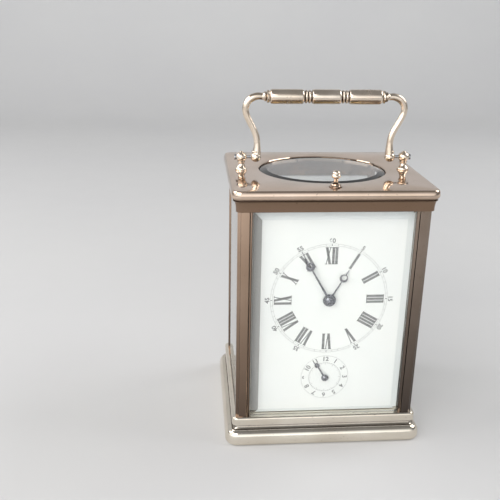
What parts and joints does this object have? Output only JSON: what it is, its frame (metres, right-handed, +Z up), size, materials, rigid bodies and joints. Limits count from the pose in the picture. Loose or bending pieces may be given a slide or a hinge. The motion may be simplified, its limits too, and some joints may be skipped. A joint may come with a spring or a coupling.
{
  "type": "carriage clock",
  "caption": "Glazed brass carriage clock with a folding handle, a white dial with an alarm dial below, a repeat button, a rear door and a wound movement inside.",
  "frame": {"origin": "middle of the base's underside", "axes": "+Z up, the dial faces -Y, +X to the right as seen from the front"},
  "size_m": [0.1014, 0.088, 0.174],
  "materials": {
    "case_brass": "polished, pale gold, lightly worn",
    "movement_brass": "fine-grained, lacquered",
    "glass": "clear plate with bevelled edges",
    "enamel": "glossy white enamel",
    "blued_steel": "heat-blued",
    "steel": "polished"
  },
  "bodies": {
    "root": {"base": "case_brass", "cornice": "case_brass", "pillar_front_left": "case_brass", "pillar_front_right": "case_brass", "pillar_rear_left": "case_brass", "pillar_rear_right": "case_brass", "glass_front": "glass", "glass_left": "glass", "glass_right": "glass", "glass_top": "glass", "handle_post_left": "case_brass", "handle_post_right": "case_brass", "handle_pivot_screw_left": "steel", "handle_pivot_screw_right": "steel", "dial": "enamel", "dial_foot_1": "movement_brass", "dial_foot_2": "movement_brass", "movement_front_plate": "movement_brass", "movement_back_plate": "movement_brass", "movement_pillar_1": "movement_brass", "movement_pillar_2": "movement_brass", "movement_pillar_3": "movement_brass", "movement_pillar_4": "movement_brass", "movement_seat_front": "movement_brass", "movement_seat_rear": "movement_brass", "platform": "movement_brass", "balance_cock": "movement_brass", "gong": "blued_steel", "gong_block": "movement_brass"},
    "handle": {"handle_arm_left": "case_brass", "handle_arm_right": "case_brass", "handle_grip": "case_brass"},
    "repeat_button": {"repeat_button": "case_brass"},
    "rear_door": {"rear_door_frame": "case_brass", "glass_rear_door": "glass", "rear_door_knob": "case_brass"},
    "minute": {"minute_hand": "blued_steel", "hand_collet": "movement_brass", "cannon_pinion": "steel", "centre_arbor": "steel"},
    "hour": {"hour_hand": "blued_steel", "hour_wheel": "movement_brass"},
    "minute_wheel": {"minute_wheel": "movement_brass"},
    "alarm_setting": {"alarm_hand": "blued_steel", "alarm_setting_arbor": "steel"},
    "going_barrel": {"going_barrel": "movement_brass"},
    "going_winding_arbor": {"going_winding_arbor": "steel"},
    "strike_barrel": {"strike_barrel": "movement_brass"},
    "strike_winding_arbor": {"strike_winding_arbor": "steel"},
    "alarm_barrel": {"alarm_barrel": "movement_brass"},
    "centre_wheel": {"centre_wheel": "movement_brass"},
    "third_wheel": {"third_wheel": "movement_brass"},
    "contrate_wheel": {"contrate_wheel": "movement_brass"},
    "escape_wheel": {"escape_wheel": "movement_brass"},
    "strike_second_wheel": {"strike_second_wheel": "movement_brass"},
    "strike_fly": {"strike_fly": "movement_brass"},
    "lever": {"lever": "steel"},
    "balance": {"balance_wheel": "movement_brass", "hairspring": "blued_steel"},
    "hammer": {"hammer": "steel"}
  },
  "joints": [
    {"name": "handle_fold", "type": "hinge", "parent": "root", "child": "handle", "pos_m": [0, 0, 0.1405], "axis": [-1, 0, 0], "range_deg": [-60, 90]},
    {"name": "repeat_press", "type": "slide", "parent": "root", "child": "repeat_button", "axis": [0, 0, -1], "range_m": [0, 0.0022], "stiffness_N_per_m": 300},
    {"name": "rear_door_swing", "type": "hinge", "parent": "root", "child": "rear_door", "pos_m": [0.0366, 0.0392, 0], "axis": [0, 0, -1], "range_deg": [0, 110]},
    {"name": "hand_setting", "type": "hinge", "parent": "root", "child": "minute", "pos_m": [0, 0, 0.0773], "axis": [0, 1, 0], "continuous": true},
    {"name": "minute_wheel_spin", "type": "hinge", "parent": "root", "child": "minute_wheel", "pos_m": [0.0081, 0, 0.0841], "axis": [0, 1, 0], "continuous": true},
    {"name": "hour_spin", "type": "hinge", "parent": "root", "child": "hour", "pos_m": [0, 0, 0.0773], "axis": [0, 1, 0], "continuous": true},
    {"name": "alarm_set", "type": "hinge", "parent": "root", "child": "alarm_setting", "pos_m": [0, 0, 0.0342], "axis": [0, 1, 0], "continuous": true},
    {"name": "going_winding", "type": "hinge", "parent": "root", "child": "going_winding_arbor", "pos_m": [-0.0155, 0, 0.062], "axis": [0, 1, 0], "continuous": true},
    {"name": "strike_winding", "type": "hinge", "parent": "root", "child": "strike_winding_arbor", "pos_m": [0.0185, 0, 0.0405], "axis": [0, 1, 0], "continuous": true},
    {"name": "alarm_winding", "type": "hinge", "parent": "root", "child": "alarm_barrel", "pos_m": [-0.011, 0, 0.031], "axis": [0, 1, 0], "continuous": true},
    {"name": "contrate_spin", "type": "hinge", "parent": "root", "child": "contrate_wheel", "pos_m": [0.0016, 0, 0.094], "axis": [0, 1, 0], "continuous": true},
    {"name": "third_spin", "type": "hinge", "parent": "root", "child": "third_wheel", "pos_m": [0.0115, 0, 0.0867], "axis": [0, 1, 0], "continuous": true},
    {"name": "centre_spin", "type": "hinge", "parent": "root", "child": "centre_wheel", "pos_m": [0, 0, 0.0773], "axis": [0, 1, 0], "continuous": true},
    {"name": "going_barrel_spin", "type": "hinge", "parent": "root", "child": "going_barrel", "pos_m": [-0.0155, 0, 0.062], "axis": [0, 1, 0], "continuous": true},
    {"name": "escape_spin", "type": "hinge", "parent": "root", "child": "escape_wheel", "pos_m": [0.0016, -0.0095, 0.11], "axis": [0, 0, 1], "continuous": true},
    {"name": "strike_second_spin", "type": "hinge", "parent": "root", "child": "strike_second_wheel", "pos_m": [0.0245, 0, 0.0685], "axis": [0, 1, 0], "continuous": true},
    {"name": "strike_barrel_spin", "type": "hinge", "parent": "root", "child": "strike_barrel", "pos_m": [0.0185, 0, 0.0405], "axis": [0, 1, 0], "continuous": true},
    {"name": "fly_spin", "type": "hinge", "parent": "root", "child": "strike_fly", "pos_m": [0.025, 0, 0.0925], "axis": [0, 1, 0], "continuous": true},
    {"name": "lever_rock", "type": "hinge", "parent": "root", "child": "lever", "pos_m": [-0.0012, -0.0034, 0.113], "axis": [0, 0, 1], "range_deg": [-10, 10]},
    {"name": "balance_swing", "type": "hinge", "parent": "root", "child": "balance", "pos_m": [-0.0035, 0.0045, 0.1165], "axis": [0, 0, 1], "range_deg": [-200, 200], "stiffness_Nm_per_rad": 0.0000158},
    {"name": "hammer_lift", "type": "hinge", "parent": "root", "child": "hammer", "pos_m": [-0.031, 0, 0.092], "axis": [0, 1, 0], "range_deg": [0, 8], "stiffness_Nm_per_rad": 0.002}
  ],
  "couplings": [
    {"joint": "minute_wheel_spin", "follows": "hand_setting", "ratio": -0.33333},
    {"joint": "hour_spin", "follows": "hand_setting", "ratio": 0.083333},
    {"joint": "third_spin", "follows": "contrate_spin", "ratio": -0.13333},
    {"joint": "centre_spin", "follows": "contrate_spin", "ratio": 0.016667},
    {"joint": "going_barrel_spin", "follows": "contrate_spin", "ratio": -0.002105},
    {"joint": "escape_spin", "follows": "contrate_spin", "ratio": -8},
    {"joint": "strike_barrel_spin", "follows": "strike_second_spin", "ratio": -0.13415},
    {"joint": "fly_spin", "follows": "strike_second_spin", "ratio": -5.4}
  ]
}
